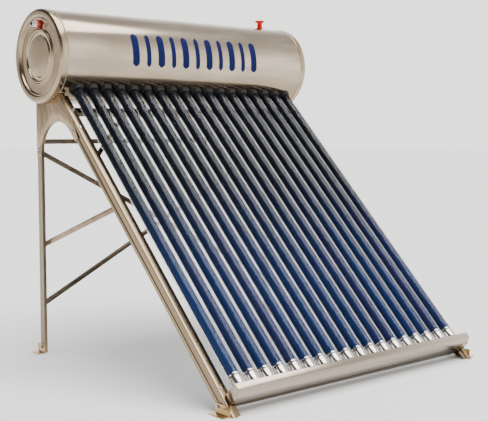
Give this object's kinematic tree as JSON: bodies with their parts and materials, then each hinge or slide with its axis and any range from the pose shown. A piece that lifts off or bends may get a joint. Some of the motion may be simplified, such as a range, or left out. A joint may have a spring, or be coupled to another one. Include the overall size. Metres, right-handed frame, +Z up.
{
  "type": "solar water heater",
  "caption": "Roof-top solar water heater: insulated horizontal tank over a sloping bank of evacuated glass tubes, on a bolted steel stand.",
  "frame": {"origin": "on the ground, under the middle of the heater's bounding box", "axes": "+Z up, X along the tank, +Y towards the tank's back; the tubes slope down towards -Y"},
  "size_m": [1.658, 1.6676, 1.7498],
  "materials": {
    "tank_steel": "polished",
    "rail_steel": "satin",
    "stand_steel": "polished",
    "foot_steel": "satin",
    "bolt_steel": "polished",
    "pipe_steel": "polished",
    "liner_steel": "satin",
    "tube_glass": "gloss",
    "tube_coating": "gloss",
    "getter_silver": "polished",
    "seal_rubber": "gloss",
    "decal_blue": "gloss",
    "foam": "matte",
    "red_plastic": "satin"
  },
  "bodies": {
    "heater": {"tank_shell": "tank_steel", "tank_end_cap_left": "tank_steel", "tank_end_cap_right": "tank_steel", "inner_tank": "liner_steel", "insulation_foam": "foam", "tail_rail": "rail_steel", "tail_rail_end_left": "rail_steel", "tail_rail_end_right": "rail_steel", "front_leg_left": "stand_steel", "front_leg_right": "stand_steel", "rear_leg_left": "stand_steel", "rear_leg_right": "stand_steel", "saddle_left": "stand_steel", "saddle_right": "stand_steel", "side_brace_left": "stand_steel", "side_brace_right": "stand_steel", "knee_brace_left": "stand_steel", "knee_brace_right": "stand_steel", "rear_crossbar": "stand_steel", "rear_brace_outer": "stand_steel", "rear_brace_inner": "stand_steel", "upper_front_crossbar": "stand_steel", "lower_front_crossbar": "stand_steel", "foot_front_left": "foot_steel", "foot_front_right": "foot_steel", "foot_rear_left": "foot_steel", "foot_rear_right": "foot_steel", "bolt_foot_front_left": "bolt_steel", "bolt_foot_front_right": "bolt_steel", "bolt_foot_rear_left": "bolt_steel", "bolt_foot_rear_right": "bolt_steel", "bolt_saddle_left_front": "bolt_steel", "bolt_saddle_left_rear": "bolt_steel", "bolt_saddle_right_front": "bolt_steel", "bolt_saddle_right_rear": "bolt_steel", "outlet_pipe": "pipe_steel", "inlet_pipe": "pipe_steel", "vent_pipe": "pipe_steel"},
    "tube_01": {"tube_01": "tube_glass"},
    "tube_02": {"tube_02": "tube_glass"},
    "tube_03": {"tube_03": "tube_glass"},
    "tube_04": {"tube_04": "tube_glass"},
    "tube_05": {"tube_05": "tube_glass"},
    "tube_06": {"tube_06": "tube_glass"},
    "tube_07": {"tube_07": "tube_glass"},
    "tube_08": {"tube_08": "tube_glass"},
    "tube_09": {"tube_09": "tube_glass"},
    "tube_10": {"tube_10": "tube_glass"},
    "tube_11": {"tube_11": "tube_glass"},
    "tube_12": {"tube_12": "tube_glass"},
    "tube_13": {"tube_13": "tube_glass"},
    "tube_14": {"tube_14": "tube_glass"},
    "tube_15": {"tube_15": "tube_glass"},
    "tube_16": {"tube_16": "tube_glass"},
    "tube_17": {"tube_17": "tube_glass"},
    "tube_18": {"tube_18": "tube_glass"},
    "outlet_seal_ring": {"outlet_seal_ring": "red_plastic"},
    "inlet_seal_ring": {"inlet_seal_ring": "red_plastic"},
    "vent_cap": {"vent_cap": "red_plastic"}
  },
  "joints": [
    {"name": "tube_01_lift", "type": "slide", "parent": "heater", "child": "tube_01", "axis": [0, 0.7071, 0.7071], "range_m": [0, 0.035]},
    {"name": "tube_02_lift", "type": "slide", "parent": "heater", "child": "tube_02", "axis": [0, 0.7071, 0.7071], "range_m": [0, 0.035]},
    {"name": "tube_03_lift", "type": "slide", "parent": "heater", "child": "tube_03", "axis": [0, 0.7071, 0.7071], "range_m": [0, 0.035]},
    {"name": "tube_04_lift", "type": "slide", "parent": "heater", "child": "tube_04", "axis": [0, 0.7071, 0.7071], "range_m": [0, 0.035]},
    {"name": "tube_05_lift", "type": "slide", "parent": "heater", "child": "tube_05", "axis": [0, 0.7071, 0.7071], "range_m": [0, 0.035]},
    {"name": "tube_06_lift", "type": "slide", "parent": "heater", "child": "tube_06", "axis": [0, 0.7071, 0.7071], "range_m": [0, 0.035]},
    {"name": "tube_07_lift", "type": "slide", "parent": "heater", "child": "tube_07", "axis": [0, 0.7071, 0.7071], "range_m": [0, 0.035]},
    {"name": "tube_08_lift", "type": "slide", "parent": "heater", "child": "tube_08", "axis": [0, 0.7071, 0.7071], "range_m": [0, 0.035]},
    {"name": "tube_09_lift", "type": "slide", "parent": "heater", "child": "tube_09", "axis": [0, 0.7071, 0.7071], "range_m": [0, 0.035]},
    {"name": "tube_10_lift", "type": "slide", "parent": "heater", "child": "tube_10", "axis": [0, 0.7071, 0.7071], "range_m": [0, 0.035]},
    {"name": "tube_11_lift", "type": "slide", "parent": "heater", "child": "tube_11", "axis": [0, 0.7071, 0.7071], "range_m": [0, 0.035]},
    {"name": "tube_12_lift", "type": "slide", "parent": "heater", "child": "tube_12", "axis": [0, 0.7071, 0.7071], "range_m": [0, 0.035]},
    {"name": "tube_13_lift", "type": "slide", "parent": "heater", "child": "tube_13", "axis": [0, 0.7071, 0.7071], "range_m": [0, 0.035]},
    {"name": "tube_14_lift", "type": "slide", "parent": "heater", "child": "tube_14", "axis": [0, 0.7071, 0.7071], "range_m": [0, 0.035]},
    {"name": "tube_15_lift", "type": "slide", "parent": "heater", "child": "tube_15", "axis": [0, 0.7071, 0.7071], "range_m": [0, 0.035]},
    {"name": "tube_16_lift", "type": "slide", "parent": "heater", "child": "tube_16", "axis": [0, 0.7071, 0.7071], "range_m": [0, 0.035]},
    {"name": "tube_17_lift", "type": "slide", "parent": "heater", "child": "tube_17", "axis": [0, 0.7071, 0.7071], "range_m": [0, 0.035]},
    {"name": "tube_18_lift", "type": "slide", "parent": "heater", "child": "tube_18", "axis": [0, 0.7071, 0.7071], "range_m": [0, 0.035]},
    {"name": "outlet_seal_ring_pull", "type": "slide", "parent": "heater", "child": "outlet_seal_ring", "axis": [-1, 0, 0], "range_m": [0, 0.028]},
    {"name": "inlet_seal_ring_pull", "type": "slide", "parent": "heater", "child": "inlet_seal_ring", "axis": [1, 0, 0], "range_m": [0, 0.028]},
    {"name": "vent_cap_pull", "type": "slide", "parent": "heater", "child": "vent_cap", "axis": [0, 0, 1], "range_m": [0, 0.04]}
  ]
}
